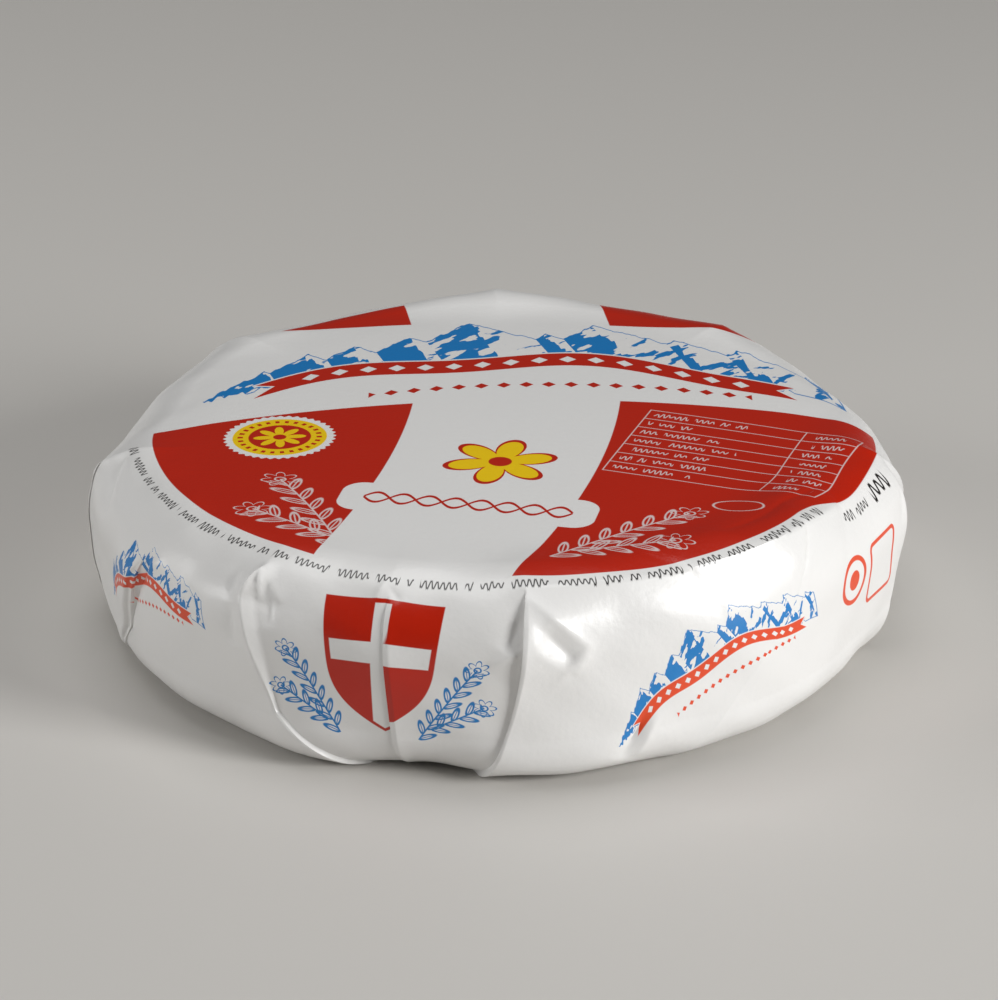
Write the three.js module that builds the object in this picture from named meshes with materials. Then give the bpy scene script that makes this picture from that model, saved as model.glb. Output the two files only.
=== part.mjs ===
// A small round of soft washed-rind cheese, shut in its folded paper wrapper.
// The wrapper is drawn tight over the top, gathered in folds down the side and
// tucked under, so that pack and cheese are one solid. Millimetres, +Z up,
// origin at the middle of the base, the coat of arms on the side towards -Y.
import * as THREE from 'three';

// Driving dimensions of the round, in millimetres
const ROUND_RADIUS = 70;
const ROUND_HEIGHT = 35;
const TOP_CROWN = 1;
const SHOULDER_RADIUS = 13;
const FOOT_RADIUS = 8.5;
const WALL_TAPER = 1;

// Folds of the wrapper, by angle round the round in degrees: where each leaves
// the rim and reaches the foot, how late it bends between them, which side lies
// on top (1: the side of smaller angles), the step at its edge, and the tent
// that the gathered paper makes at the rim, with the tent's half width.
const FOLDS = [
  { rim: -170, foot: -180, bend: 1.0, over: 1, lift: 0.4, tent: 1.6, spread: 13 },
  { rim: -138.5, foot: -165, bend: 1.0, over: 1, lift: 0.6, tent: 0.3, spread: 10 },
  { rim: -126.5, foot: -108.5, bend: 2.7, over: 1, lift: 1.4, tent: 2.2, spread: 11 },
  { rim: -105.5, foot: -103, bend: 1.0, over: -1, lift: 0.5, tent: 0.4, spread: 8 },
  { rim: -86, foot: -94.3, bend: 3.0, over: -1, lift: 1.4, tent: 1.2, spread: 13 },
  { rim: -37, foot: -44, bend: 1.0, over: 1, lift: 0.3, tent: 0.3, spread: 10 },
  { rim: -8, foot: -14, bend: 1.0, over: 1, lift: 1.0, tent: 0.8, spread: 13 },
  { rim: 50, foot: 42, bend: 1.2, over: 1, lift: 1.2, tent: 1.5, spread: 26 },
  { rim: 90, foot: 97, bend: 1.2, over: -1, lift: 1.4, tent: 3.4, spread: 42 },
  { rim: 137, foot: 129, bend: 1.2, over: 1, lift: 1.2, tent: 1.2, spread: 16 },
];

// Where the soft round bulges or is pressed in: angle and half width in degrees,
// height down the side (0 rim, 1 foot) and half height, millimetres outward.
const SWELLS = [
  { angle: -79, width: 14, level: 0.95, reach: 0.3, out: 4.0 },
  { angle: -117, width: 9, level: 0.95, reach: 0.3, out: 2.4 },
  { angle: -101, width: 8, level: 1.0, reach: 0.2, out: -1.6 },
  { angle: -24, width: 16, level: 0.7, reach: 0.4, out: -2.0 },
  { angle: -52, width: 9, level: 0.95, reach: 0.3, out: 1.0 },
  { angle: -160, width: 16, level: 0.7, reach: 0.4, out: -1.6 },
  { angle: 168, width: 11, level: 0.15, reach: 0.3, out: -2.2 },
  { angle: 32, width: 12, level: 0.15, reach: 0.3, out: -1.2 },
  { angle: -36, width: 5, level: 0.08, reach: 0.12, out: -1.0 },
];

// Crest where the paper is drawn tight over the shoulder: middle angle and half
// width in degrees, height down the side, millimetres out and their fall-off.
const CREST = { angle: -56, width: 34, level: 0.17, out: 3.1, fall: 6.3 };

// Shape of a fold, in millimetres
const UPPER_LEAD = 10;
const LOWER_TAIL = 7;
const LOWER_SHARE = 0.22;
const RELIEF_START = 10;
const RELIEF_RUN = 16;
const TENT_LEVEL = 0.12;
const TENT_REACH = 0.22;
const TENT_POWER = 1.3;
const PLEAT_DEPTH = 0.7;
const PLEAT_WIDTH = 2.2;
const PLEAT_INNER = 18;
const CHORD_CUT = 1.1;
const CHORD_ARC = 50;

// Fineness of the surface
const EDGE_HALF_ANGLE = 0.35;
const COLUMN_PITCH = 7;
const END_COLUMNS = 4;
const EDGE_CROWDING = 0.7;
const TOP_RINGS = [16, 32, 43, 50];
const BASE_RINGS = [52, 40, 28, 14];
const SHOULDER_STEPS = 7;
const WALL_STEPS = 4;
const FOOT_STEPS = 5;

const PAPER = { color: 0xefeeea, roughness: 0.38, metalness: 0 };

const FLAT_RADIUS = ROUND_RADIUS - SHOULDER_RADIUS;
const BASE_RADIUS = ROUND_RADIUS - WALL_TAPER - FOOT_RADIUS;
const WALL_TOP = ROUND_HEIGHT - TOP_CROWN - SHOULDER_RADIUS;
const WALL_LENGTH = WALL_TOP - FOOT_RADIUS;

// Distances along the section from the middle of the top
const RIM_AT = FLAT_RADIUS;
const WALL_AT = RIM_AT + SHOULDER_RADIUS * Math.PI / 2;
const FOOT_AT = WALL_AT + WALL_LENGTH;
const BASE_AT = FOOT_AT + FOOT_RADIUS * Math.PI / 2;

const radians = THREE.MathUtils.degToRad;
const smooth = THREE.MathUtils.smoothstep;
const mix = THREE.MathUtils.lerp;
const bell = (x) => Math.exp(-x * x);

// Smallest turn from one angle to another, in degrees
function turn(from, to) {
  return THREE.MathUtils.euclideanModulo(to - from + 180, 360) - 180;
}

// Section of the plain round at a distance along it: place and outward normal
function section(along) {
  if (along <= RIM_AT) {
    return { r: along, z: ROUND_HEIGHT - TOP_CROWN * (along / FLAT_RADIUS) ** 2, nr: 0, nz: 1 };
  }
  if (along <= WALL_AT) {
    const a = (along - RIM_AT) / SHOULDER_RADIUS;
    const nr = Math.sin(a);
    const nz = Math.cos(a);
    return { r: FLAT_RADIUS + SHOULDER_RADIUS * nr, z: WALL_TOP + SHOULDER_RADIUS * nz, nr, nz };
  }
  if (along <= FOOT_AT) {
    const down = (along - WALL_AT) / WALL_LENGTH;
    return { r: ROUND_RADIUS - WALL_TAPER * down ** 2, z: WALL_TOP - WALL_LENGTH * down, nr: 1, nz: 0 };
  }
  if (along <= BASE_AT) {
    const a = (along - FOOT_AT) / FOOT_RADIUS;
    const nr = Math.cos(a);
    const nz = -Math.sin(a);
    return { r: BASE_RADIUS + FOOT_RADIUS * nr, z: FOOT_RADIUS + FOOT_RADIUS * nz, nr, nz };
  }
  return { r: BASE_AT + BASE_RADIUS - along, z: 0, nr: 0, nz: -1 };
}

// Height down the side: 0 where the shoulder starts, 1 where the foot ends
function levelAt(along) {
  return (along - RIM_AT) / (BASE_AT - RIM_AT);
}

function foldAngle(fold, level) {
  const down = THREE.MathUtils.clamp(level, 0, 1);
  return fold.rim + (fold.foot - fold.rim) * down ** fold.bend;
}

// Panel of paper between one fold and the next
function panelAfter(index) {
  const wrap = index + 1 === FOLDS.length ? 360 : 0;
  return { from: FOLDS[index], to: FOLDS[(index + 1) % FOLDS.length], wrap };
}

// Angle of a column at a height, so that columns run along the folds
function columnAngle(column, level) {
  const { from, to, wrap } = panelAfter(column.panel);
  return mix(foldAngle(from, level), foldAngle(to, level) + wrap, column.share);
}

// Step of one fold and the tent above it, at an arc distance from its edge
function foldRelief(fold, arc, level, radius) {
  const past = arc * fold.over;
  const step = past < 0 ? Math.exp(past / UPPER_LEAD) : -LOWER_SHARE * Math.exp(-past / LOWER_TAIL);
  const half = radians(fold.spread) * radius;
  const tent = fold.tent * Math.max(0, 1 - Math.abs(arc) / half) ** TENT_POWER;
  return fold.lift * step + tent * bell((level - TENT_LEVEL) / TENT_REACH);
}

function swellAt(angle, level) {
  let out = 0;
  for (const swell of SWELLS) {
    const across = turn(swell.angle, angle) / swell.width;
    out += swell.out * bell(across) * bell((level - swell.level) / swell.reach);
  }
  return out;
}

function crestAt(angle, along) {
  const apart = Math.abs(levelAt(along) - CREST.level) * (BASE_AT - RIM_AT);
  return CREST.out * bell(turn(CREST.angle, angle) / CREST.width) * Math.exp(-apart / CREST.fall);
}

// Point of the wrapped round on a column, at a distance along the section
function surfacePoint(column, along) {
  const level = levelAt(along);
  const angle = columnAngle(column, level);
  const { r, z, nr, nz } = section(along);
  const { from, to, wrap } = panelAfter(column.panel);
  const span = (to.rim + wrap - from.rim) / CHORD_ARC;
  const flat = CHORD_CUT * span ** 2 * 4 * column.share * (1 - column.share);
  let relief = -flat;
  let pleat = 0;
  for (const fold of FOLDS) {
    const arc = radians(turn(foldAngle(fold, level), angle)) * r;
    relief += foldRelief(fold, arc, level, Math.max(r, FLAT_RADIUS));
    pleat = Math.max(pleat, bell(arc / PLEAT_WIDTH));
  }
  const onSide = smooth(along, RIM_AT - RELIEF_START, RIM_AT + RELIEF_RUN);
  const nearRim = smooth(along, RIM_AT - RELIEF_START, RIM_AT);
  const push = along > BASE_AT ? 0 : relief * onSide + crestAt(angle, along) * nearRim;
  const inner = smooth(r, PLEAT_INNER, FLAT_RADIUS);
  const groove = along > BASE_AT ? PLEAT_DEPTH * pleat * inner : 0;
  const radius = r + nr * push + swellAt(angle, level) * nearRim;
  const height = Math.max(0, z + nz * push + groove);
  return [radius * Math.cos(radians(angle)), radius * Math.sin(radians(angle)), height];
}

// Columns from each fold's edge to the next, closer together near the edges
function makeColumns() {
  const columns = [];
  FOLDS.forEach((fold, panel) => {
    const { to, wrap } = panelAfter(panel);
    const span = to.rim + wrap - fold.rim;
    const edge = EDGE_HALF_ANGLE / span;
    const steps = Math.round(span / COLUMN_PITCH) + END_COLUMNS;
    for (let i = 0; i <= steps; i += 1) {
      const even = i / steps;
      const eased = mix(even, smooth(even, 0, 1), EDGE_CROWDING);
      columns.push({ panel, share: mix(edge, 1 - edge, eased) });
    }
  });
  return columns;
}

function evenSteps(from, to, count) {
  return Array.from({ length: count }, (_, i) => mix(from, to, i / count));
}

// Distances along the section of the rings of points, from the top to the base
function makeRings() {
  return [
    ...TOP_RINGS,
    ...evenSteps(RIM_AT, WALL_AT, SHOULDER_STEPS),
    ...evenSteps(WALL_AT, FOOT_AT, WALL_STEPS),
    ...evenSteps(FOOT_AT, BASE_AT, FOOT_STEPS),
    BASE_AT,
    ...BASE_RINGS.map((radius) => BASE_AT + BASE_RADIUS - radius),
  ];
}

// Closed skin: a fan at the middle of the top, rings down the side, a fan below
function makeWrappedRound() {
  const columns = makeColumns();
  const rings = makeRings();
  const count = columns.length;
  const points = [0, 0, ROUND_HEIGHT];
  for (const along of rings) {
    for (const column of columns) points.push(...surfacePoint(column, along));
  }
  points.push(0, 0, 0);
  const bottom = points.length / 3 - 1;
  const at = (ring, column) => 1 + ring * count + column % count;
  const last = rings.length - 1;
  const faces = [];
  for (let c = 0; c < count; c += 1) {
    faces.push(0, at(0, c), at(0, c + 1));
    for (let ring = 0; ring < last; ring += 1) {
      faces.push(at(ring, c), at(ring + 1, c), at(ring + 1, c + 1));
      faces.push(at(ring, c), at(ring + 1, c + 1), at(ring, c + 1));
    }
    faces.push(bottom, at(last, c + 1), at(last, c));
  }
  const geometry = new THREE.BufferGeometry();
  geometry.setAttribute('position', new THREE.Float32BufferAttribute(points, 3));
  geometry.setIndex(faces);
  geometry.computeVertexNormals();
  return geometry;
}

const wrappedCheese = new THREE.Mesh(makeWrappedRound(), new THREE.MeshStandardMaterial(PAPER));
wrappedCheese.name = 'wrapped_cheese';

const reblochon = new THREE.Group();
reblochon.name = 'reblochon';
reblochon.add(wrappedCheese);

export default reblochon;
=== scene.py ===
import math
import bpy
import numpy as np
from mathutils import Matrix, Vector


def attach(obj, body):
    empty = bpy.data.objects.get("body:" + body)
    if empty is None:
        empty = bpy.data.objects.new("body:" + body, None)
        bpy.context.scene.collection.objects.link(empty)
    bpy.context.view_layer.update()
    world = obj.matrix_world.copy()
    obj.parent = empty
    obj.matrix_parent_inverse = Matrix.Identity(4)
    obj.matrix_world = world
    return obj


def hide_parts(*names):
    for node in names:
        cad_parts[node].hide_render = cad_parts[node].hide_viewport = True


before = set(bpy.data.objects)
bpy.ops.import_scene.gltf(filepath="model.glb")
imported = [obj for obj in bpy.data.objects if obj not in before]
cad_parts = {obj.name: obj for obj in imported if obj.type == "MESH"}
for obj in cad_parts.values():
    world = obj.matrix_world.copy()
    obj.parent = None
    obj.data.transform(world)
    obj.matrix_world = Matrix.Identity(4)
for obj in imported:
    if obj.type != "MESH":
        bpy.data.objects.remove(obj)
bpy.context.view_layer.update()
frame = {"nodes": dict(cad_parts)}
mm = 0.001
print("frame loaded:", ", ".join(frame["nodes"]))


# Camera at the photograph's viewing angle
cameraSet = {
    "distance": 800.0,      # mm from the point it looks at
    "elevation": 23.0,      # degrees above the table
    "lookAt": (0.4, 0.0, 20.5),
    "focalPixels": 4664.0,  # for a picture 1000 pixels high
    "pictureHeight": 1000.0,
    "sensor": 36.0,
    "nearest": 10.0,        # mm where the view begins
}


def addCamera(s):
    data = bpy.data.cameras.new("camera")
    data.sensor_width = s["sensor"]
    data.lens = s["focalPixels"] * data.sensor_width / s["pictureHeight"]
    data.clip_start = s["nearest"] * mm
    camera = bpy.data.objects.new("camera", data)
    bpy.context.collection.objects.link(camera)
    tilt = math.radians(s["elevation"])
    away = Vector((0.0, -math.cos(tilt), math.sin(tilt)))
    camera.location = (Vector(s["lookAt"]) + away * s["distance"]) * mm
    camera.rotation_euler = away.to_track_quat("Z", "Y").to_euler()
    bpy.context.scene.camera = camera


addCamera(cameraSet)
print("camera set")


# The wrapped round: sizes in mm, angles in degrees, level 0 at the rim and 1 at the foot
roundSize = {"radius": 70.0, "height": 35.0, "crown": 1.0, "shoulder": 13.0, "foot": 8.5, "taper": 1.0}

# Folds in order round the side
# rim, foot, bend: angle at the rim and at the foot, and how late the fold turns between them
# path: levels and angles instead of these, for a fold with corners
# over: 1 where the side of smaller angles lies on top, else -1
# lift, starts, ends, soft: step at the edge, levels of its ends, share of it lost low on the side
# lead, roll: width of the rise to the edge and of its rolled edge
# apron: width of a slope below the edge instead of a roll, by the rim and by the foot
# tent, tentAt, spread: loose paper pushed up at the fold, its level and half angle
# lost: width of print that the fold swallows by the foot
folds = [
    {"rim": -170, "foot": -180, "bend": 1.0, "over": 1, "lift": 0.25, "starts": 0.14, "ends": 2.0,
     "lead": 8.0, "roll": 3.0, "tent": 1.6, "tentAt": 0.12, "spread": 13, "lost": 6.0},
    {"rim": -138.5, "foot": -165, "bend": 1.0, "over": 1, "lift": 1.0, "starts": 0.30, "ends": 0.82,
     "lead": 5.0, "roll": 1.2, "tent": 0.3, "tentAt": 0.40, "spread": 10, "lost": 2.0},
    {"rim": -124.5, "over": 1, "lift": 0.9, "starts": 0.14, "ends": 2.0, "lead": 5.0, "apron": (2.2, 0.35),
     "path": [(0.0, -124.5), (0.21, -124.3), (0.30, -125.6), (0.69, -120.0), (0.82, -114.0), (1.0, -106.5)],
     "tent": 1.6, "tentAt": 0.36, "spread": 11, "lost": 2.0, "soft": 0.3},
    {"rim": -105.5, "foot": -103, "bend": 1.0, "over": -1, "lift": 0.4, "starts": 0.16, "ends": 2.0,
     "lead": 2.5, "roll": 0.5, "tent": 0.4, "tentAt": 0.24, "spread": 8, "lost": 2.6},
    {"rim": -86.0, "foot": -94.3, "bend": 3.0, "over": -1, "lift": 1.3, "starts": 0.16, "ends": 2.0,
     "lead": 11.0, "roll": 0.15, "tent": 1.2, "tentAt": 0.30, "spread": 13, "lost": 3.0, "soft": 0.5},
    {"rim": -35, "foot": -67, "bend": 1.0, "over": 1, "lift": 0.6, "starts": 0.12, "ends": 0.32,
     "lead": 8.0, "roll": 0.6, "tent": 0.4, "tentAt": 0.15, "spread": 9, "lost": 1.0},
    {"rim": -8, "foot": -14, "bend": 1.0, "over": 1, "lift": 1.0, "starts": 0.16, "ends": 2.0,
     "lead": 10.0, "roll": 1.2, "tent": 1.2, "tentAt": 0.12, "spread": 13, "lost": 6.0},
    {"rim": 50, "foot": 42, "bend": 1.2, "over": 1, "lift": 1.2, "starts": 0.16, "ends": 2.0,
     "lead": 10.0, "roll": 1.2, "tent": 2.1, "tentAt": 0.12, "spread": 26, "lost": 6.0},
    {"rim": 90, "foot": 97, "bend": 1.2, "over": -1, "lift": 1.4, "starts": 0.16, "ends": 2.0,
     "lead": 10.0, "roll": 1.2, "tent": 4.3, "tentAt": 0.12, "spread": 42, "lost": 6.0},
    {"rim": 137, "foot": 129, "bend": 1.2, "over": 1, "lift": 1.2, "starts": 0.16, "ends": 2.0,
     "lead": 10.0, "roll": 1.2, "tent": 1.8, "tentAt": 0.12, "spread": 16, "lost": 6.0},
]

# Places where the soft round bulges or is pressed in: half widths in degrees and in level, mm outward
swells = [
    {"angle": -79, "width": 14, "level": 0.95, "reach": 0.3, "out": 4.0},
    {"angle": -117, "width": 9, "level": 0.95, "reach": 0.3, "out": 2.4},
    {"angle": -101, "width": 8, "level": 1.0, "reach": 0.2, "out": -1.6},
    {"angle": -24, "width": 16, "level": 0.7, "reach": 0.4, "out": -2.0},
    {"angle": -52, "width": 9, "level": 0.95, "reach": 0.3, "out": 1.0},
    {"angle": -160, "width": 16, "level": 0.7, "reach": 0.4, "out": -1.6},
    {"angle": 168, "width": 11, "level": 0.15, "reach": 0.3, "out": -2.2},
    {"angle": 32, "width": 12, "level": 0.15, "reach": 0.3, "out": -1.2},
    {"angle": -36, "width": 5, "level": 0.08, "reach": 0.12, "out": -1.0},
]

foldShape = {
    "lowerTail": 7.0, "lowerShare": 0.25,       # dip beyond the edge
    "reliefStart": 10.0, "reliefRun": 16.0,     # where the relief begins round the rim
    "startRun": 0.14, "endRun": 0.12,           # how fast an edge starts and ends
    "rollDrop": 0.75,                           # share of the step that a rolled edge takes up
    "apronFrom": 0.38, "apronTo": 0.68,         # where the slope below an edge narrows
    "softAt": 0.66, "softReach": 0.20,          # where an edge lies close
    "footFrom": 0.80, "footShare": 0.45,        # the step gets lower where the paper turns under
    "tentReach": 0.22, "tentPower": 1.3,
    "pleatDepth": 0.7, "pleatWidth": 2.2, "pleatInner": 18.0,
    "chordCut": 1.1, "chordArc": 50.0,          # flattening between two folds
    "edgeHalfAngle": 0.1, "overhang": 0.5,      # degrees on each side of a fold's line, mm past it
}

# Sharp creases of the paper: from and to as (angle, level), height of the crest, fall-off in mm
creases = [
    # pinched leaf left of the shield
    {"from": (-124.3, 0.20), "to": (-125.6, 0.30), "high": 0.8, "fall": 0.5},
    {"from": (-124.1, 0.20), "to": (-123.1, 0.30), "high": 0.9, "fall": 0.6},
    {"from": (-122.6, 0.22), "to": (-122.6, 0.33), "high": -0.3, "fall": 1.2},
    {"from": (-123.6, 0.21), "to": (-120.2, 0.29), "high": 0.5, "fall": 1.2},
    {"from": (-121.8, 0.28), "to": (-121.2, 0.38), "high": -0.6, "fall": 1.3},
    {"from": (-128.4, 0.22), "to": (-127.4, 0.32), "high": -0.8, "fall": 1.1},
    {"from": (-126.9, 0.36), "to": (-126.3, 0.47), "high": -0.5, "fall": 1.0},
    # tuck in the shield
    {"from": (-105.9, 0.15), "to": (-107.0, 0.23), "high": 0.35, "fall": 0.7},
    {"from": (-105.2, 0.17), "to": (-103.4, 0.22), "high": -0.3, "fall": 0.8},
    # three-cornered dent
    {"from": (-85.3, 0.22), "to": (-77.6, 0.38), "high": 0.8, "fall": 1.3},
    {"from": (-77.6, 0.38), "to": (-80.2, 0.46), "high": 0.5, "fall": 1.3},
    {"from": (-85.0, 0.37), "to": (-80.2, 0.46), "high": 0.4, "fall": 1.2},
    {"from": (-84.0, 0.31), "to": (-79.8, 0.41), "high": -1.3, "fall": 2.0},
    # short creases beside and under the fold
    {"from": (-86.6, 0.37), "to": (-91.2, 0.42), "high": 0.6, "fall": 0.8},
    {"from": (-87.2, 0.28), "to": (-88.8, 0.37), "high": -0.8, "fall": 1.5},
    {"from": (-70.1, 0.66), "to": (-73.4, 0.83), "high": -0.9, "fall": 1.2},
    {"from": (-68.6, 0.68), "to": (-71.4, 0.84), "high": 0.5, "fall": 1.2},
    # pinches on the right shoulder
    {"from": (-49.6, 0.19), "to": (-50.6, 0.25), "high": -0.16, "fall": 0.6},
    {"from": (-40.3, 0.17), "to": (-45.5, 0.32), "high": -0.7, "fall": 0.9},
    # shoulder drawn tight
    {"from": (-86.0, 0.17), "to": (-34.0, 0.17), "high": 2.8, "fall": 6.5},
    {"from": (-10.0, 0.16), "to": (-58.0, 0.17), "high": 1.5, "fall": 6.0},
    {"from": (-26.0, 0.05), "to": (-48.0, 0.04), "high": -0.5, "fall": 2.2},
    # valley on the left
    {"from": (-146.0, 0.35), "to": (-159.5, 0.79), "high": -1.9, "fall": 1.3},
    {"from": (-143.6, 0.31), "to": (-146.5, 0.39), "high": 0.6, "fall": 0.9},
    {"from": (-170.0, 0.14), "to": (-163.5, 0.33), "high": -0.9, "fall": 1.5},
    {"from": (-171.0, 0.18), "to": (-174.0, 0.30), "high": 0.7, "fall": 1.2},
    # the far side's folds
    {"from": (-9.0, 0.14), "to": (-3.0, 0.42), "high": 0.5, "fall": 1.3},
    {"from": (-7.0, 0.16), "to": (-14.0, 0.40), "high": -0.4, "fall": 1.3},
    {"from": (50.5, 0.14), "to": (59.0, 0.48), "high": 0.6, "fall": 1.5},
    {"from": (49.0, 0.16), "to": (40.0, 0.40), "high": -0.5, "fall": 1.5},
    {"from": (90.0, 0.14), "to": (80.0, 0.46), "high": 0.6, "fall": 1.6},
    {"from": (91.0, 0.16), "to": (101.0, 0.42), "high": -0.5, "fall": 1.6},
    {"from": (137.0, 0.14), "to": (146.0, 0.44), "high": 0.6, "fall": 1.4},
    {"from": (136.0, 0.16), "to": (127.0, 0.42), "high": -0.5, "fall": 1.4},
]
creaseTaper = {"start": 0.12, "power": 0.6}  # strongest near its middle, and runs out at its far end

# Long low waves of the loose paper: waves round and down the side, phase, height in mm
waves = [
    {"round": 9, "down": 1.3, "phase": 0.4, "high": 0.13},
    {"round": 14, "down": -2.1, "phase": 2.2, "high": 0.10},
    {"round": 23, "down": 2.9, "phase": 4.1, "high": 0.07},
    {"round": 31, "down": -4.2, "phase": 1.1, "high": 0.05},
]

# Places where the print of the top is drawn in: angle, half widths before and after it, mm
pulls = [
    {"angle": -35, "before": 24, "after": 6, "by": 2.0},
    {"angle": -14, "before": 12, "after": 14, "by": 0.9},
]
pullRun = (45.0, 58.0)  # mm from the middle where it begins and is full

meshFineness = {
    "columnPitch": 0.62, "endColumns": 10, "edgeCrowding": 0.7,
    "topRings": 10, "rimRings": 14, "shoulderRings": 44,
    "wallRings": 30, "footRings": 26, "baseRings": 14,
    "topInner": 4.0, "baseInner": 8.0,  # mm of the first and the last ring
    "sharpAngle": 40.0,
}
bakeMap = {"middle": 0.5, "half": 0.495, "baseShare": 0.35}  # the base is laid out smaller than the rest


def smoothStep(low, high, value):
    t = np.clip((value - low) / (high - low), 0.0, 1.0)
    return t * t * (3.0 - 2.0 * t)


def bell(x):
    return np.exp(-x * x)


def turnTo(start, end):
    return np.mod(end - start + 180.0, 360.0) - 180.0


class Section:  # the plain round's section, by the distance along it from the middle of the top
    def __init__(self, size):
        self.size = size
        self.flat = size["radius"] - size["shoulder"]
        self.base = size["radius"] - size["taper"] - size["foot"]
        self.wallTop = size["height"] - size["crown"] - size["shoulder"]
        self.wallLength = self.wallTop - size["foot"]
        self.rimAt = self.flat
        self.wallAt = self.rimAt + size["shoulder"] * math.pi / 2
        self.footAt = self.wallAt + self.wallLength
        self.baseAt = self.footAt + size["foot"] * math.pi / 2
        self.endAt = self.baseAt + self.base

    def level(self, along):
        return (along - self.rimAt) / (self.baseAt - self.rimAt)

    def points(self, along):
        s = self.size
        shoulderTurn = np.clip((along - self.rimAt) / s["shoulder"], 0.0, math.pi / 2)
        down = np.clip((along - self.wallAt) / self.wallLength, 0.0, 1.0)
        footTurn = np.clip((along - self.footAt) / s["foot"], 0.0, math.pi / 2)
        r = np.minimum(along, self.flat) + s["shoulder"] * np.sin(shoulderTurn) - s["taper"] * down ** 2
        r = r - s["foot"] * (1 - np.cos(footTurn)) - np.maximum(along - self.baseAt, 0.0)
        z = s["height"] - s["crown"] * np.clip(along / self.flat, 0.0, 1.0) ** 2
        z = z - s["shoulder"] * (1 - np.cos(shoulderTurn)) - self.wallLength * down
        z = z - s["foot"] * np.sin(footTurn)
        lean = shoulderTurn + footTurn
        return r, z, np.sin(lean), np.cos(lean)


section = Section(roundSize)


def foldAngle(fold, level):
    if "path" in fold:
        return np.interp(level, *zip(*fold["path"]))
    return fold["rim"] + (fold["foot"] - fold["rim"]) * np.clip(level, 0.0, 1.0) ** fold["bend"]


def foldGrip(fold, level):  # 1 where the fold's edge stands free
    s = foldShape
    started = smoothStep(fold["starts"], fold["starts"] + s["startRun"], level)
    ended = smoothStep(fold["ends"] - s["endRun"], fold["ends"] + s["endRun"], level)
    closed = fold.get("soft", 0.0) * bell((level - s["softAt"]) / s["softReach"])
    return started * (1.0 - closed) * (1.0 - ended)


def foldAfter(index):
    last = index + 1 == len(folds)
    return folds[(index + 1) % len(folds)], 360.0 if last else 0.0


def makeColumns(s):
    panels, shares = [], []
    for index, fold in enumerate(folds):
        following, wrap = foldAfter(index)
        span = following["rim"] + wrap - fold["rim"]
        edge = foldShape["edgeHalfAngle"] / span
        steps = round(span / s["columnPitch"]) + s["endColumns"]
        even = np.linspace(0.0, 1.0, steps + 1)
        eased = even + s["edgeCrowding"] * (smoothStep(0.0, 1.0, even) - even)
        panels += [index] * (steps + 1)
        shares += list(edge + (1 - 2 * edge) * eased)
    return np.array(panels), np.array(shares)


def makeRings(s):
    rimStart = section.rimAt - foldShape["reliefStart"]
    stops = [
        np.linspace(s["topInner"], rimStart, s["topRings"], endpoint=False),
        np.linspace(rimStart, section.rimAt, s["rimRings"], endpoint=False),
        np.linspace(section.rimAt, section.wallAt, s["shoulderRings"], endpoint=False),
        np.linspace(section.wallAt, section.footAt, s["wallRings"], endpoint=False),
        np.linspace(section.footAt, section.baseAt, s["footRings"], endpoint=False),
        np.linspace(section.baseAt, section.endAt - s["baseInner"], s["baseRings"]),
    ]
    return np.concatenate(stops)


def creaseRelief(angle, along, r):
    total = np.zeros_like(along)
    side = section.baseAt - section.rimAt
    for crease in creases:
        (a0, l0), (a1, l1) = crease["from"], crease["to"]
        ax = np.radians(turnTo(a0, angle)) * r
        ay = along - (section.rimAt + l0 * side)
        dx, dy = math.radians(a1 - a0) * roundSize["radius"], (l1 - l0) * side
        length = math.hypot(dx, dy)
        t = (ax * dx + ay * dy) / length ** 2
        inside = np.clip(t, 0.0, 1.0)
        apart = np.hypot(ax - inside * dx, ay - inside * dy)
        done = np.clip(creaseTaper["start"] + (1.0 - creaseTaper["start"]) * inside, 0.0, 1.0)
        fade = np.sin(math.pi * done) ** creaseTaper["power"]
        total += crease["high"] * fade * np.exp(-apart / crease["fall"])
    return total


def edgeRelief(fold, past, level):  # rise to the edge of the upper sheet and dip beyond it
    s = foldShape
    below = np.maximum(past, 0.0)
    rise = np.exp(np.minimum(past, 0.0) / fold["lead"])
    dip = -s["lowerShare"] * np.exp(-below / s["lowerTail"])
    if "apron" in fold:
        byRim, byFoot = fold["apron"]
        wide = byRim + (byFoot - byRim) * smoothStep(s["apronFrom"], s["apronTo"], level)
        dip = dip + (1.0 + s["lowerShare"]) * np.maximum(0.0, 1.0 - below / wide)
    else:
        rise = rise * (1.0 - s["rollDrop"] * smoothStep(-fold["roll"], 0.0, past))
    underturn = 1.0 - (1.0 - s["footShare"]) * smoothStep(s["footFrom"], 1.0, level)
    return fold["lift"] * np.where(past < 0, rise, dip) * foldGrip(fold, level) * underturn


def waveRelief(angle, level):
    total = np.zeros_like(level)
    for wave in waves:
        turns = wave["round"] * np.radians(angle) + wave["down"] * level * 2 * math.pi + wave["phase"]
        total += wave["high"] * np.sin(turns)
    return total


def swellOut(angle, level):
    total = np.zeros_like(level)
    for place in swells:
        across = turnTo(place["angle"], angle) / place["width"]
        total += place["out"] * bell(across) * bell((level - place["level"]) / place["reach"])
    return total


def panelSides(panel, level):  # angles of the folds on both sides of a panel, and its span at the rim
    left, right, span = np.zeros_like(level), np.zeros_like(level), np.zeros_like(level)
    for index, fold in enumerate(folds):
        following, wrap = foldAfter(index)
        here = panel == index
        left = np.where(here, foldAngle(fold, level), left)
        right = np.where(here, foldAngle(following, level) + wrap, right)
        span = np.where(here, following["rim"] + wrap - fold["rim"], span)
    return left, right, span


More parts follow.
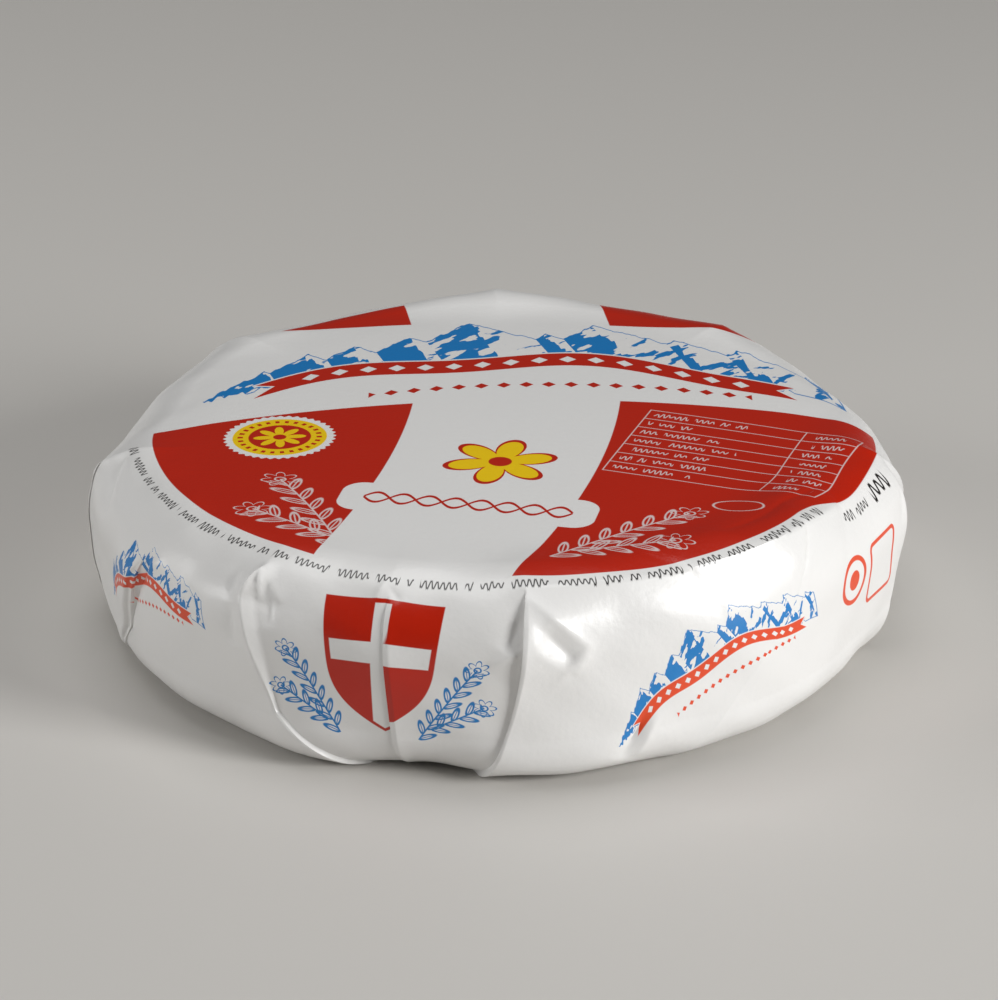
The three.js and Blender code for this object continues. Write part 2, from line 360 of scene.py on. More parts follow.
def wrapperSurface(panel, share, along):
    s = foldShape
    level = section.level(along)
    r, z, nr, nz = section.points(along)
    left, right, span = panelSides(panel, level)
    angle = left + (right - left) * share
    relief = -s["chordCut"] * (span / s["chordArc"]) ** 2 * 4 * share * (1 - share)
    pleat = np.zeros_like(along)
    for fold in folds:
        arc = np.radians(turnTo(foldAngle(fold, level), angle)) * r
        half = math.radians(fold["spread"]) * np.maximum(r, section.flat)
        tent = fold["tent"] * np.maximum(0.0, 1 - np.abs(arc) / half) ** s["tentPower"]
        relief = relief + edgeRelief(fold, arc * fold["over"], level)
        relief = relief + tent * bell((level - fold["tentAt"]) / s["tentReach"])
        pleat = np.maximum(pleat, bell(arc / s["pleatWidth"]))
    onSide = smoothStep(section.rimAt - s["reliefStart"], section.rimAt + s["reliefRun"], along)
    nearRim = smoothStep(section.rimAt - s["reliefStart"], section.rimAt, along)
    relief = relief * onSide + waveRelief(angle, level) * onSide + creaseRelief(angle, along, r) * nearRim
    push = np.where(along > section.baseAt, 0.0, relief)
    groove = s["pleatDepth"] * pleat * smoothStep(s["pleatInner"], section.flat, r)
    radius = r + nr * push + swellOut(angle, level) * nearRim
    height = np.maximum(0.0, z + nz * push + np.where(along > section.baseAt, groove, 0.0))
    return angle, radius, height


def edgePast(rings, columnPanel):  # mm that the free edge of each upper sheet stands past the fold's line
    count = len(columnPanel)
    past = np.zeros((len(rings), count))
    level = section.level(rings)
    firstOf = np.searchsorted(columnPanel, np.arange(len(folds)))
    for index, fold in enumerate(folds):
        if "apron" not in fold:
            edgeColumn = (firstOf[index] - (fold["over"] > 0)) % count
            past[:, edgeColumn] = fold["over"] * foldShape["overhang"] * foldGrip(fold, level)
    return past


def makeWrapper():
    columnPanel, columnShare = makeColumns(meshFineness)
    rings = makeRings(meshFineness)
    count = len(columnPanel)
    along = np.repeat(rings[:, None], count, axis=1)
    panel = np.repeat(columnPanel[None, :], len(rings), axis=0)
    share = np.repeat(columnShare[None, :], len(rings), axis=0)
    angle, radius, height = wrapperSurface(panel, share, along)
    offBase = 1.0 - smoothStep(section.footAt, section.baseAt, along)
    turned = np.radians(angle) + edgePast(rings, columnPanel) * offBase / roundSize["radius"]
    ringPoints = np.stack([radius * np.cos(turned), radius * np.sin(turned), height], axis=-1)
    points = np.concatenate([[[0, 0, roundSize["height"]]], ringPoints.reshape(-1, 3), [[0, 0, 0]]]) * mm
    ringIndex = 1 + np.arange(len(rings) * count).reshape(len(rings), count)
    here, after = ringIndex, np.roll(ringIndex, -1, axis=1)
    quads = np.stack([here[:-1], here[1:], after[1:], after[:-1]], axis=-1).reshape(-1, 4)
    topFan = np.stack([np.zeros(count, int), here[0], after[0]], axis=-1)
    baseFan = np.stack([np.full(count, len(points) - 1), after[-1], here[-1]], axis=-1)
    faces = topFan.tolist() + quads.tolist() + baseFan.tolist()
    mesh = bpy.data.meshes.new("wrapper")
    mesh.from_pydata(points.tolist(), [], faces)
    mesh.polygons.foreach_set("use_smooth", np.ones(len(faces), bool))
    mesh.set_sharp_from_angle(angle=math.radians(meshFineness["sharpAngle"]))
    addPrintMaps(mesh, rings, columnPanel, columnShare, angle)
    wrapper = bpy.data.objects.new("wrapper", mesh)
    bpy.context.collection.objects.link(wrapper)
    return wrapper


def printPull(angle, along):
    total = np.zeros_like(along)
    for pull in pulls:
        off = turnTo(pull["angle"], angle)
        total += pull["by"] * bell(off / np.where(off < 0, pull["before"], pull["after"]))
    return total * smoothStep(*pullRun, along)


# Places on the flat print, carried as maps in mm: "sheet" for the top, "side" for the band round the side
def addPrintMaps(mesh, rings, columnPanel, columnShare, angle):
    count = len(columnPanel)
    stepPanel = columnPanel.copy()  # each strip of faces takes the print of the sheet on top
    lastOf = np.flatnonzero(columnPanel != np.roll(columnPanel, -1))
    for column in lastOf:
        nextPanel = columnPanel[(column + 1) % count]
        if folds[nextPanel]["over"] < 0:
            stepPanel[column] = nextPanel
    loopVertex = np.zeros(len(mesh.loops), int)
    mesh.loops.foreach_get("vertex_index", loopVertex)
    totals = np.zeros(len(mesh.polygons), int)
    mesh.polygons.foreach_get("loop_total", totals)
    faceOfLoop = np.repeat(np.arange(len(totals)), totals)
    faceColumn = np.tile(np.arange(count), len(rings) + 1)
    columnOfFace = faceColumn[faceOfLoop]
    pole = (loopVertex == 0) | (loopVertex == len(mesh.vertices) - 1)
    ringOf = np.where(pole, 0, (loopVertex - 1) // count)
    columnOf = np.where(pole, columnOfFace, (loopVertex - 1) % count)
    alongOf = np.where(loopVertex == 0, 0.0, np.where(pole, section.endAt, rings[ringOf]))
    angleOf = angle[ringOf, columnOf]
    faceAngle = angle[ringOf, columnOfFace]
    angleOf = faceAngle + turnTo(faceAngle, angleOf)

    owner = stepPanel[columnOfFace]
    lostLeft = np.array([fold["lost"] for fold in folds])[owner]
    lostRight = np.array([foldAfter(i)[0]["lost"] for i in range(len(folds))])[owner]
    ownShare = columnShare[columnOf]
    shareOf = np.where(columnPanel[columnOf] == owner, ownShare, np.round(1 - ownShare))
    hidden = (lostLeft * (1 - shareOf) - lostRight * shareOf) / 2
    down = np.clip(section.level(alongOf), 0.0, 1.0)
    arcOf = np.radians(angleOf) * roundSize["radius"] + hidden * down

    rimAngle = angle[0, columnOf]
    rimFace = angle[0, columnOfFace]
    rimAngle = np.radians(rimFace + turnTo(rimFace, rimAngle))
    spread = np.minimum(alongOf, section.baseAt)
    spread = spread + np.maximum(alongOf - section.baseAt, 0) * bakeMap["baseShare"]
    widest = section.baseAt + section.base * bakeMap["baseShare"]
    bakeOf = bakeMap["half"] * spread / widest
    flatAngle = np.radians(angleOf)
    sheetOf = alongOf + printPull(angleOf, alongOf)
    maps = {
        "OFBake": (bakeMap["middle"] + bakeOf * np.cos(rimAngle),
                   bakeMap["middle"] + bakeOf * np.sin(rimAngle)),
        "sheet": (sheetOf * np.cos(flatAngle), sheetOf * np.sin(flatAngle)),
        "side": (arcOf, alongOf),
    }
    for name, (u, v) in maps.items():
        layer = mesh.uv_layers.new(name=name)
        layer.data.foreach_set("uv", np.stack([u, v], axis=-1).astype(np.float32).ravel())


wrapper = makeWrapper()
print("wrapper made:", len(wrapper.data.polygons), "faces")


# Shader maths: a socket with operators, so that masks read as sums
class Ink:
    tree = None

    def __init__(self, socket):
        self.socket = socket

    @classmethod
    def make(cls, kind, settings=None, inputs=None, output=0):
        node = cls.tree.nodes.new(kind)
        for name, value in (settings or {}).items():
            setattr(node, name, value)
        for name, value in (inputs or {}).items():
            if isinstance(value, Ink):
                cls.tree.links.new(value.socket, node.inputs[name])
            else:
                node.inputs[name].default_value = value
        return cls(node.outputs[output])

    @classmethod
    def maths(cls, operation, *values):
        return cls.make("ShaderNodeMath", {"operation": operation}, dict(enumerate(values)))

    def __add__(self, other):
        return self.maths("ADD", self, other)

    def __radd__(self, other):
        return self.maths("ADD", other, self)

    def __sub__(self, other):
        return self.maths("SUBTRACT", self, other)

    def __rsub__(self, other):
        return self.maths("SUBTRACT", other, self)

    def __mul__(self, other):
        return self.maths("MULTIPLY", self, other)

    def __rmul__(self, other):
        return self.maths("MULTIPLY", other, self)

    def __truediv__(self, other):
        return self.maths("DIVIDE", self, other)

    def __pow__(self, other):
        return self.maths("POWER", self, other)

    def __neg__(self):
        return self.maths("MULTIPLY", self, -1.0)

    def __abs__(self):
        return self.maths("ABSOLUTE", self)

    def __gt__(self, other):
        return self.maths("GREATER_THAN", self, other)

    def parts(self):
        first = self.make("ShaderNodeSeparateXYZ", {}, {"Vector": self})
        return first, Ink(first.socket.node.outputs[1])

    def length(self):
        return self.make("ShaderNodeVectorMath", {"operation": "LENGTH"}, {0: self}, output=1)


def least(*values):
    total = values[0]
    for value in values[1:]:
        total = Ink.maths("MINIMUM", total, value)
    return total


def most(*values):
    total = values[0]
    for value in values[1:]:
        total = Ink.maths("MAXIMUM", total, value)
    return total


def hypot(x, y):
    return Ink.maths("SQRT", x * x + y * y)


def sine(x):
    return Ink.maths("SINE", x)


def wrapped(x, step):
    return Ink.maths("FLOORED_MODULO", x, step)


def chance(x):  # one draw for each whole number
    return Ink.make("ShaderNodeTexWhiteNoise", {"noise_dimensions": "1D"}, {"W": Ink.maths("FLOOR", x)})


inkEdge = 0.14  # mm over which the ink fades at an edge


def fill(distance, soft=inkEdge):  # 1 inside a shape
    return Ink.make("ShaderNodeClamp", {}, {"Value": 0.5 - distance / soft})


def point(x, y):
    return Ink.make("ShaderNodeCombineXYZ", {}, {"X": x, "Y": y})


def placed(spot, at, turn=0.0, scale=(1.0, 1.0)):  # the same point in a motif's own axes
    return Ink.make("ShaderNodeMapping", {"vector_type": "TEXTURE"}, {
        "Vector": spot, "Location": (*at, 0.0),
        "Rotation": (0.0, 0.0, math.radians(turn)), "Scale": (*scale, 1.0)})


def pick(mask, yes, no):  # one of two points or two numbers
    if isinstance(yes, Ink) and yes.socket.type == "VECTOR":
        return Ink.make("ShaderNodeMix", {"data_type": "VECTOR"}, {0: mask, 4: no, 5: yes}, output=1)
    return Ink.make("ShaderNodeMix", {"data_type": "FLOAT"}, {0: mask, 2: no, 3: yes})


def inked(mask, colour, ink):
    return Ink.make("ShaderNodeMix", {"data_type": "RGBA"}, {0: mask, 6: colour, 7: ink}, output=2)


def linear(hexColour):  # from the screen's scale to light
    parts = [int(hexColour[i:i + 2], 16) / 255 for i in (0, 2, 4)]
    flat = [p / 12.92 if p <= 0.04045 else ((p + 0.055) / 1.055) ** 2.4 for p in parts]
    return (*flat, 1.0)


inks = {
    "paper": linear("e9e8e6"), "red": linear("bc1e00"), "blue": linear("147ac0"),
    "yellow": linear("f3cb06"), "black": linear("221f1e"), "orange": linear("e0481c"),
}


# Shapes of the print, as distances in mm that are negative inside
def roundedBox(u, v, half, corner):
    du = most(abs(u) - (half[0] - corner), 0.0)
    dv = most(abs(v) - (half[1] - corner), 0.0)
    return hypot(du, dv) - corner


def polar(spot):
    u, v = spot.parts()
    return spot.length(), Ink.maths("ARCTAN2", v, u)


def petals(radius, angle, count, outer, inner):  # rosette outline
    lobe = abs(sine(angle * (count / 2)))
    return radius - (inner + lobe * (outer - inner))


def braid(u, v, half, high, pitch, thick):  # two crossing waves
    swing = sine(u * (2 * math.pi / pitch)) * high
    return most(abs(abs(v) - abs(swing)) - thick, abs(u) - half)


def lozenges(u, v, half, pitch, size):  # row of diamonds
    return most(abs(wrapped(u, pitch) - pitch / 2) + abs(v) - size, abs(u) - half)


squiggle = {"pitch": 0.98, "high": 0.30, "uneven": 0.40, "line": 0.125, "groups": (7.3, 11.9), "gap": 1.15}


def squiggleRow(along, across, s):  # wavy line in groups
    phase = along * (2 * math.pi / s["pitch"])
    high = chance(along / s["pitch"]) * s["uneven"] + s["high"]
    steep = Ink.maths("COSINE", phase) * high * (2 * math.pi / s["pitch"])
    wave = abs(across - sine(phase) * high) / Ink.maths("SQRT", steep * steep + 1.0) - s["line"]
    return most(wave, *(s["gap"] - wrapped(along, group) for group in s["groups"]))


topPrint = {
    "disc": (3.3, -0.3), "discRadius": 62.0,
    "arm": (2.5, 0.125, -0.0026), "armHalf": 17.8,  # swooping white arm of the cross: x from y
    "bandLow": (10.2, 10.0, 0.0027),                # arched white band: top, middle and droop of its edges
    "bandHigh": (49.0, 0.0, 0.0024),
    "pill": (-4.7, -35.0), "pillTurn": -11.8, "pillHalf": (21.5, 5.5), "pillCorner": 3.6,
    "braid": (17.5, 1.9, 8.75, 0.42),
    "turn": -18.5,  # of the motifs below, degrees
    "roundel": {"at": (-36.7, -5.9), "radius": 9.3, "teeth": 40, "tooth": 0.25, "field": 0.86,
                "beadsAt": 0.72, "beads": 26, "beadHalf": 0.45, "beadGap": 0.2,
                "rosette": 0.57, "petals": 8, "petalOuter": 0.48, "petalInner": 0.16, "eye": 0.12},
    "flower": {"at": (0.6, -17.5), "radius": 9.8, "petals": 6, "waist": 0.42, "rim": 1.0, "eye": 0.2},
    "table": {"at": (26.5, 5.9), "size": (38.0, 28.0), "split": 28.0, "inset": 0.3,
              "rowPitch": 4.0, "rowShort": 9.0, "rowSpread": 11.0, "rowSeed": 3.0, "rowShift": 41.7,
              "cellStart": 1.2, "cellGap": 2.0, "cellEnd": 1.5},
    "oval": (40.6, -36.2), "ovalHalf": (5.0, 2.3),
    "rowsAt": (2.4, 0.3),  # middle of the wavy rows round the rim
    "rows": [{"radius": 64.3, "from": -172.0, "to": -36.0, "size": 1.0},
             {"radius": 65.6, "from": -31.0, "to": -22.5, "size": 1.1},
             {"radius": 65.6, "from": -22.0, "to": -14.0, "size": 2.2}],
    "line": 0.2, "fineInk": 0.75,  # thin lines let the red through
}


def crossFields(x, y, sheet, s):  # red disc cut by a white cross with swooping arms
    disc = placed(sheet, s["disc"]).length() - s["discRadius"]
    base, slope, bend = s["arm"]
    arm = abs(x - (y * bend + slope) * y - base) - s["armHalf"]
    low, lowMiddle, lowDroop = s["bandLow"]
    high, highMiddle, highDroop = s["bandHigh"]
    fromLow, fromHigh = x - lowMiddle, x - highMiddle
    band = most(low - fromLow * fromLow * lowDroop - y, y - high + fromHigh * fromHigh * highDroop)
    return most(disc, -least(arm, band))


def ruledTable(sheet, turn, line, s):  # ruled table with wavy lines in its rows
    u, v = placed(sheet, s["at"], turn, (1.0, -1.0)).parts()
    wide, deep = s["size"]
    box = most(abs(u - wide / 2) - wide / 2, abs(v - deep / 2) - deep / 2)
    inRow = wrapped(v, s["rowPitch"]) - s["rowPitch"] / 2
    rules = least(s["rowPitch"] / 2 - abs(inRow), abs(u - s["split"])) - line / 2
    row = Ink.maths("FLOOR", v / s["rowPitch"])
    reach = chance(row + s["rowSeed"]) * s["rowSpread"] + s["rowShort"]
    firstCell = most(u - reach, s["cellStart"] - u)
    lastCell = most(s["split"] + s["cellGap"] - u, u - wide + s["cellEnd"])
    strokes = squiggleRow(u + row * s["rowShift"], inRow, squiggle)
    strokes = most(strokes, least(firstCell, lastCell))
    return least(abs(box) - line / 2, most(least(rules, strokes), box))


def printRoundel(colour, sheet, turn, s):
    r, a = polar(placed(sheet, s["at"], turn))
    edge = s["radius"]
    colour = inked(fill(r - edge - sine(a * s["teeth"]) * s["tooth"]), colour, inks["paper"])
    colour = inked(fill(r - edge * s["field"]), colour, inks["yellow"])
    beads = most(abs(r - edge * s["beadsAt"]) - s["beadHalf"], s["beadGap"] - sine(a * s["beads"]))
    blades = petals(r, a, s["petals"], edge * s["petalOuter"], edge * s["petalInner"])
    rosette = most(r - edge * s["rosette"], -blades)
    return inked(fill(least(beads, rosette, r - edge * s["eye"])), colour, inks["red"])


def printFlower(colour, sheet, turn, s):
    r, a = polar(placed(sheet, s["at"], turn))
    outline = petals(r, a, s["petals"], s["radius"], s["radius"] * s["waist"])
    colour = inked(fill(outline), colour, inks["red"])
    return inked(fill(most(outline + s["rim"], s["radius"] * s["eye"] - r)), colour, inks["yellow"])


def printRows(colour, sheet, middle, rows):  # wavy rows round the rim
    r, a = polar(placed(sheet, middle))
    for row in rows:
        radius, size = row["radius"], row["size"]
        half = math.radians(row["to"] - row["from"]) / 2
        ends = (abs(a - math.radians(row["from"] + row["to"]) / 2) - half) * radius
        strokes = squiggleRow(a * (radius / size), (r - radius) / size, squiggle) * size
        colour = inked(fill(most(strokes, ends)), colour, inks["black"])
    return colour


def printTop(colour, sheet, s):
    x, y = sheet.parts()
    red = crossFields(x, y, sheet, s)
    pu, pv = placed(sheet, s["pill"], s["pillTurn"]).parts()
    pill = roundedBox(pu, pv, s["pillHalf"], s["pillCorner"])
    colour = inked(fill(least(most(red, -pill), braid(pu, pv, *s["braid"]))), colour, inks["red"])
    colour = printRoundel(colour, sheet, s["turn"], s["roundel"])
    colour = printFlower(colour, sheet, s["turn"], s["flower"])
    oval = (placed(sheet, s["oval"], s["turn"], s["ovalHalf"]).length() - 1) * s["ovalHalf"][1]
    table = most(ruledTable(sheet, s["turn"], s["line"], s["table"]), red + s["table"]["inset"])
    ruled = least(table, abs(oval) - s["line"] / 2)
    colour = inked(fill(ruled) * s["fineInk"], colour, inks["paper"])
    return printRows(colour, sheet, s["rowsAt"], s["rows"])


# Band round the side: mm to the right of the first shield and mm up from the shield's top edge
sidePrint = {
    "period": math.pi * roundSize["radius"],  # the same motifs come twice round the wrapper
    "lead": 0.4,                              # share of it that lies left of a shield
    "starts": 66.0,                           # mm from the middle of the top
    "shieldAt": -105.5, "shieldTop": 67.4, "shieldHalf": 10.5, "shieldDeep": 22.8, "shieldStraight": 10.0,
    "shieldTaper": 0.012, "shieldPower": 2.6, "shieldArch": 0.6, "shieldSlant": 0.85,
    "crossHalf": 1.75, "crossDown": 8.8, "border": 0.75,
    "ring": {"at": (90.4, -9.8), "radius": 3.9, "line": 0.45, "eye": 0.45},
    "frame": {"at": (102.0, -11.5), "half": (5.2, 5.2), "corner": 1.2, "line": 0.35},
}


def printSide(colour, u, v, s):
    up = v - s["shieldArch"] + abs(u) * (s["shieldArch"] / s["shieldHalf"])  # drawn up by the tuck
    below = most(-up - s["shieldStraight"], 0.0) / (s["shieldDeep"] - s["shieldStraight"])
    half = (up * s["shieldTaper"] + 1.0) * (1.0 - below ** s["shieldPower"]) * s["shieldHalf"]
    crest = most((abs(u) - half) * s["shieldSlant"], up)
    cross = least(abs(u), abs(up + s["crossDown"])) - s["crossHalf"]
    colour = inked(fill(crest), colour, inks["red"])
    colour = inked(fill(most(cross, crest + s["border"])), colour, inks["paper"])
    ring, box = s["ring"], s["frame"]
    away = hypot(u - ring["at"][0], v - ring["at"][1])
    circle = least(abs(away - ring["radius"]) - ring["line"], away - ring["radius"] * ring["eye"])
    square = abs(roundedBox(u - box["at"][0], v - box["at"][1], box["half"], box["corner"])) - box["line"]
    return inked(fill(least(square, circle)), colour, inks["orange"])


# Mountain scene with a ribbon: large on the top, small beside the shields
scenery = {
    "top": {"at": (4.0, 36.0)},
    "right": {"at": (55.5, -9.8), "turn": 19.0, "scale": (0.37, 0.37)},
    "left": {"at": (-52.5, -7.0), "turn": 12.0, "scale": (0.33, 0.33)},
    "sideSplit": 5.0,  # mm right of the shield where the left scene gives way to the right one
    "sideEdge": 0.4,   # soft edge of these two, in the scene's own mm
    "peaks": [(-48, -11), (-38, -3), (-29, 1), (-18, 5.5), (-5, 13),
              (7, 7), (17, 12), (29, 4.5), (39, 0.5), (50, -7)],
    "slope": 0.92, "lean": 0.3, "deep": 9.0, "droop": 0.0052, "half": 57.0,
    "jag": 3.0, "jagBelow": 7.2, "jagScale": 0.33, "jagDetail": 2.0,
    "spine": 5.0, "snowLit": 0.40, "snowShade": 0.60, "snowRim": 0.45, "snowSlope": 0.08, "snowEdge": 0.02,
    "grain": 0.30, "grainDetail": 2.5, "grainLean": 0.7, "grainSquash": 0.6,
    "ribbonAt": (1.0, -7.0), "ribbonHalf": 47.0, "ribbonThick": 3.1, "ribbonSwing": 1.7,
    "ribbonPitch": 46.0, "ribbonDroop": 0.0062, "ribbonNotch": 3.4, "ribbonRim": 0.5,
    "ribbonDiamonds": (40.0, 5.0, 1.5),
    "rowAt": (7.0, -18.4), "rowDroop": 0.0045, "rowDiamonds": (33.15, 3.9, 1.25),
}


def printScenery(colour, spot, onSide, s):
    u, v = spot.parts()
    soft = pick(onSide, s["sideEdge"], inkEdge)
    jag = Ink.make("ShaderNodeTexNoise", {"noise_dimensions": "1D"},
                   {"W": u, "Scale": s["jagScale"], "Detail": s["jagDetail"]}) - 0.5
    sky, beside = None, None
    leaning = u + v * s["lean"]
    for px, py in s["peaks"]:
        across = leaning - px
        slope = py - abs(across) * s["slope"]
        beside = across if sky is None else pick(slope > sky, across, beside)
        sky = slope if sky is None else most(sky, slope)
    bu, bv = u - s["ribbonAt"][0], v - s["ribbonAt"][1]
    swing = sine(bu * (2 * math.pi / s["ribbonPitch"])) * s["ribbonSwing"]
    height = bv - swing + bu * bu * s["ribbonDroop"]
    low = jag * s["jagBelow"] - s["deep"] - u * u * s["droop"]
    body = most(v - sky - jag * s["jag"], low - v, abs(u) - s["half"], -height)
    streak = point(u - v * s["grainLean"], v * s["grainSquash"])
    grain = Ink.make("ShaderNodeTexNoise", {"noise_dimensions": "2D"},
                     {"Vector": streak, "Scale": s["grain"], "Detail": s["grainDetail"]})
    lit = beside + jag * s["spine"] > 0.0  # right of the spine that runs down from each peak
    snow = most(pick(lit, s["snowLit"], s["snowShade"]) - grain, (body + s["snowRim"]) * s["snowSlope"])
    colour = inked(fill(body, soft), colour, inks["blue"])
    colour = inked(fill(snow, s["snowEdge"]), colour, inks["paper"])

    notch = most(s["ribbonNotch"] - abs(height) * (s["ribbonNotch"] / s["ribbonThick"]), 0.0)
    band = most(abs(height) - s["ribbonThick"], abs(bu) - s["ribbonHalf"] + notch)
    diamonds = lozenges(bu, height, *s["ribbonDiamonds"])
    colour = inked(fill(band - s["ribbonRim"], soft), colour, inks["paper"])
    ru, rv = u - s["rowAt"][0], v - s["rowAt"][1]
    row = lozenges(ru, rv + ru * ru * s["rowDroop"], *s["rowDiamonds"])
    ribbonRed = inked(onSide, inks["red"], inks["orange"])
    return inked(fill(least(most(band, -diamonds), row), soft), colour, ribbonRed)


# Sprigs in line: white on the red fields, blue beside the shields
sprigs = {
    "left": {"at": (-25.0, -51.0), "turn": 106.0},
    "right": {"at": (8.5, -56.0), "turn": 43.0, "scale": (1.0, -1.0)},
    "shield": {"at": (6.8, -23.2), "turn": 62.0, "scale": (0.55, -0.55)},
    "topSplit": -8.0,  # mm between the two on the top
    "long": 29.0, "branchAt": (5.0, 1.0), "branchTurn": 30.0, "branch": 16.5, "bend": 0.0035,
    "pitch": 4.4, "leaf": (2.2, 0.72), "leafBack": 0.4, "leafOut": 2.1, "leafTurn": 40.0,
    "vein": (0.8, 0.16),  # half length and width, as shares of the leaf's
    "flower": {"radius": 3.0, "petals": 7, "waist": 0.5, "eye": 0.28},
    "line": 0.14, "sideLine": 0.22,
}


def sprig(spot, length, line, s):  # stem with leaves on both sides and a flower at its end
    u, v = spot.parts()
    v = v - u * u * s["bend"]
    stem = abs(v) - line
    other = pick(v > 0.0, 0.0, s["pitch"] / 2)
    cell = wrapped(u + other, s["pitch"]) - s["leafBack"]
    out = abs(v)
    turn = math.radians(s["leafTurn"])
    long, wide = s["leaf"]
    lu = (cell * math.cos(turn) + out * math.sin(turn) - s["leafOut"]) / long
    lv = (out * math.cos(turn) - cell * math.sin(turn)) / wide
    leaf = abs((hypot(lu, lv) - 1.0) * wide) - line
    vein = most(abs(lv) - s["vein"][1], abs(lu) - s["vein"][0]) * wide
    twig = most(least(stem, most(least(leaf, vein), other - u)), abs(u - length / 2) - length / 2)
    flower = s["flower"]
    r, a = polar(point(u - length, v))
    bloom = abs(petals(r, a, flower["petals"], flower["radius"], flower["radius"] * flower["waist"])) - line
    return least(twig, bloom, abs(r - flower["radius"] * flower["eye"]) - line)


def printSprigs(colour, spot, onSide, s):
    branch = placed(spot, s["branchAt"], s["branchTurn"])
    line = pick(onSide, s["sideLine"], s["line"])
    drawn = least(sprig(spot, s["long"], line, s), sprig(branch, s["branch"], line, s))
    cover = pick(onSide, 1.0, topPrint["fineInk"])
    return inked(fill(drawn) * cover, colour, inked(onSide, inks["paper"], inks["blue"]))


finish = {
    "roughness": 0.32, "roughSpread": 0.08, "haze": {"Scale": 60.0, "Detail": 3.0},
    "crumple": 0.06, "cells": {"Scale": 95.0, "Detail": 1.0},
    "crumpleFrom": 60.0, "crumpleTo": 72.0,  # mm from the middle of the top
    "fibre": 0.02, "fibres": {"Scale": 900.0, "Detail": 2.0},
    "bump": 0.5, "bumpDeep": 4.0, "coat": 0.12, "coatRough": 0.16,
}


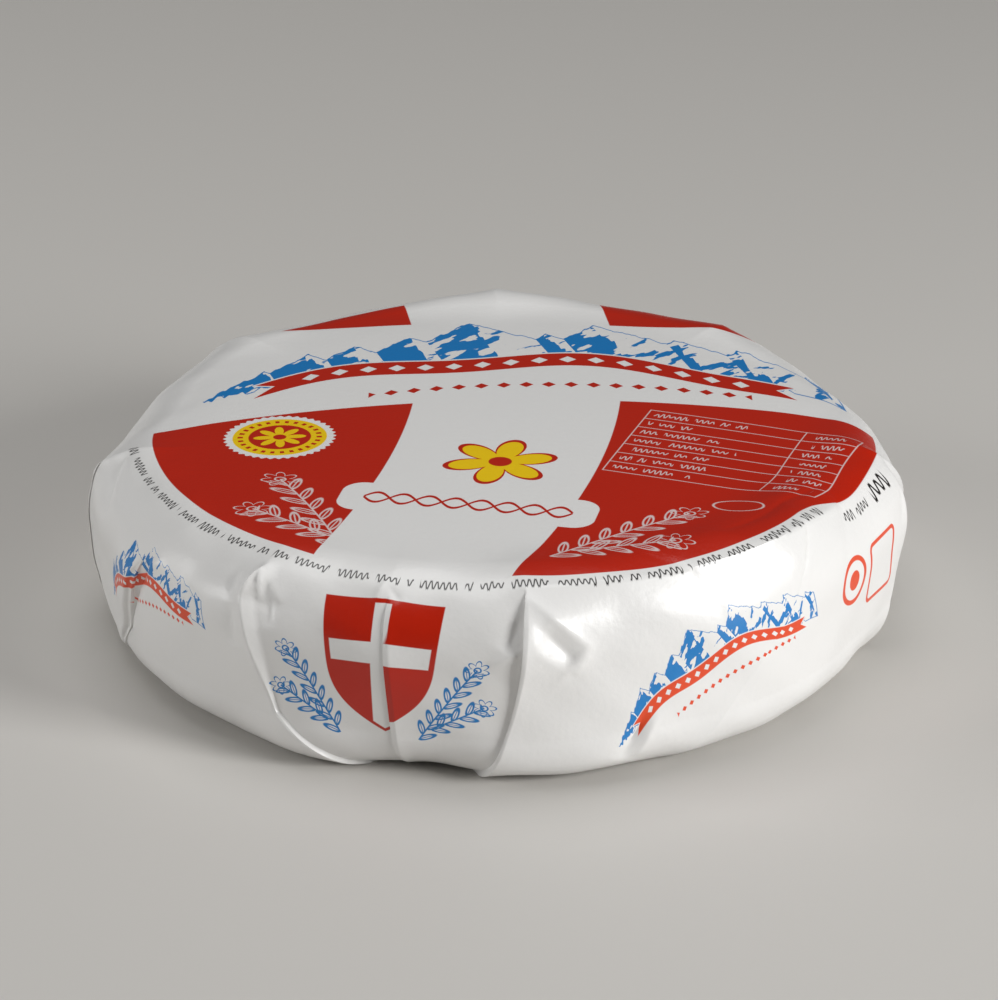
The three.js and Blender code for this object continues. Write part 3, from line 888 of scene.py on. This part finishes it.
def wrapperMaterial(s):
    material = bpy.data.materials.new("printed wrapper")
    material.use_nodes = True
    Ink.tree = material.node_tree
    shader = Ink.tree.nodes["Principled BSDF"]
    sheet = Ink.make("ShaderNodeUVMap", {"uv_map": "sheet"})
    arc, along = Ink.make("ShaderNodeUVMap", {"uv_map": "side"}).parts()
    onSide = along > sidePrint["starts"]
    start = math.radians(sidePrint["shieldAt"]) * roundSize["radius"]
    lead = sidePrint["period"] * sidePrint["lead"]
    u = wrapped(arc - start + lead, sidePrint["period"]) - lead
    v = sidePrint["shieldTop"] - along
    side = point(u, v)
    rightScene, leftScene = placed(side, **scenery["right"]), placed(side, **scenery["left"])
    sideScene = pick(u > scenery["sideSplit"], rightScene, leftScene)
    scene = pick(onSide, sideScene, placed(sheet, **scenery["top"]))
    onRight = sheet.parts()[0] > sprigs["topSplit"]
    topSprig = pick(onRight, placed(sheet, **sprigs["right"]), placed(sheet, **sprigs["left"]))
    sprigSpot = pick(onSide, placed(point(abs(u), v), **sprigs["shield"]), topSprig)

    colour = printTop(inks["paper"], sheet, topPrint)
    colour = printScenery(colour, scene, onSide, scenery)
    colour = printSprigs(colour, sprigSpot, onSide, sprigs)
    colour = printSide(colour, u, v, sidePrint)
    Ink.tree.links.new(colour.socket, shader.inputs["Base Color"])

    place = Ink.make("ShaderNodeTexCoord", output=3)  # in the object's own metres
    haze = Ink.make("ShaderNodeTexNoise", {}, {"Vector": place, **s["haze"]})
    rough = (haze - 0.5) * s["roughSpread"] + s["roughness"]
    Ink.tree.links.new(rough.socket, shader.inputs["Roughness"])
    cells = Ink.make("ShaderNodeTexNoise", {}, {"Vector": place, **s["cells"]})
    fibres = Ink.make("ShaderNodeTexNoise", {}, {"Vector": place, **s["fibres"]})
    run = {"From Min": s["crumpleFrom"], "From Max": s["crumpleTo"]}
    downSide = Ink.make("ShaderNodeMapRange", {}, {"Value": along, **run})
    dents = cells * downSide * s["crumple"] + fibres * s["fibre"]
    bump = Ink.make("ShaderNodeBump", {},
                    {"Height": dents, "Strength": s["bump"], "Distance": s["bumpDeep"] * mm})
    Ink.tree.links.new(bump.socket, shader.inputs["Normal"])
    shader.inputs["Coat Weight"].default_value = s["coat"]
    shader.inputs["Coat Roughness"].default_value = s["coatRough"]
    print("print laid down:", len(Ink.tree.nodes), "nodes")
    return material


wrapper.data.materials.append(wrapperMaterial(finish))
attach(wrapper, "root")
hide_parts("wrapped_cheese")


# Pale table and soft studio light
studio = {
    "floor": 3.0, "floorColour": "cfccc7", "floorRough": 0.6,
    "lamps": [
        {"name": "keyLamp", "at": (0.80, -0.48, 0.36), "size": 0.34, "power": 8.4},
        {"name": "fillLamp", "at": (-0.98, -0.12, 0.36), "size": 0.50, "power": 3.8},
        {"name": "topLamp", "at": (-0.10, 0.15, 0.98), "size": 0.70, "power": 3.6},
    ],
    "aim": (0.0, 0.0, 0.02),
    "sky": 0.05,
}


def addStudio(s):
    half = s["floor"] / 2
    mesh = bpy.data.meshes.new("table")
    corners = [(-half, -half, 0), (half, -half, 0), (half, half, 0), (-half, half, 0)]
    mesh.from_pydata(corners, [], [(0, 1, 2, 3)])
    table = bpy.data.objects.new("table", mesh)
    bpy.context.collection.objects.link(table)
    material = bpy.data.materials.new("pale table")
    material.use_nodes = True
    shader = material.node_tree.nodes["Principled BSDF"]
    shader.inputs["Base Color"].default_value = linear(s["floorColour"])
    shader.inputs["Roughness"].default_value = s["floorRough"]
    mesh.materials.append(material)
    for lamp in s["lamps"]:
        data = bpy.data.lights.new(lamp["name"], "AREA")
        data.size = lamp["size"]
        data.energy = lamp["power"]
        light = bpy.data.objects.new(lamp["name"], data)
        light.location = lamp["at"]
        toLamp = Vector(lamp["at"]) - Vector(s["aim"])
        light.rotation_euler = toLamp.to_track_quat("Z", "Y").to_euler()
        bpy.context.collection.objects.link(light)
    world = bpy.data.worlds.new("soft sky")
    world.use_nodes = True
    background = world.node_tree.nodes["Background"]
    background.inputs["Color"].default_value = (1.0, 1.0, 1.0, 1.0)
    background.inputs["Strength"].default_value = s["sky"]
    bpy.context.scene.world = world
    bpy.context.scene.view_settings.view_transform = "Standard"


addStudio(studio)
print("studio lit")
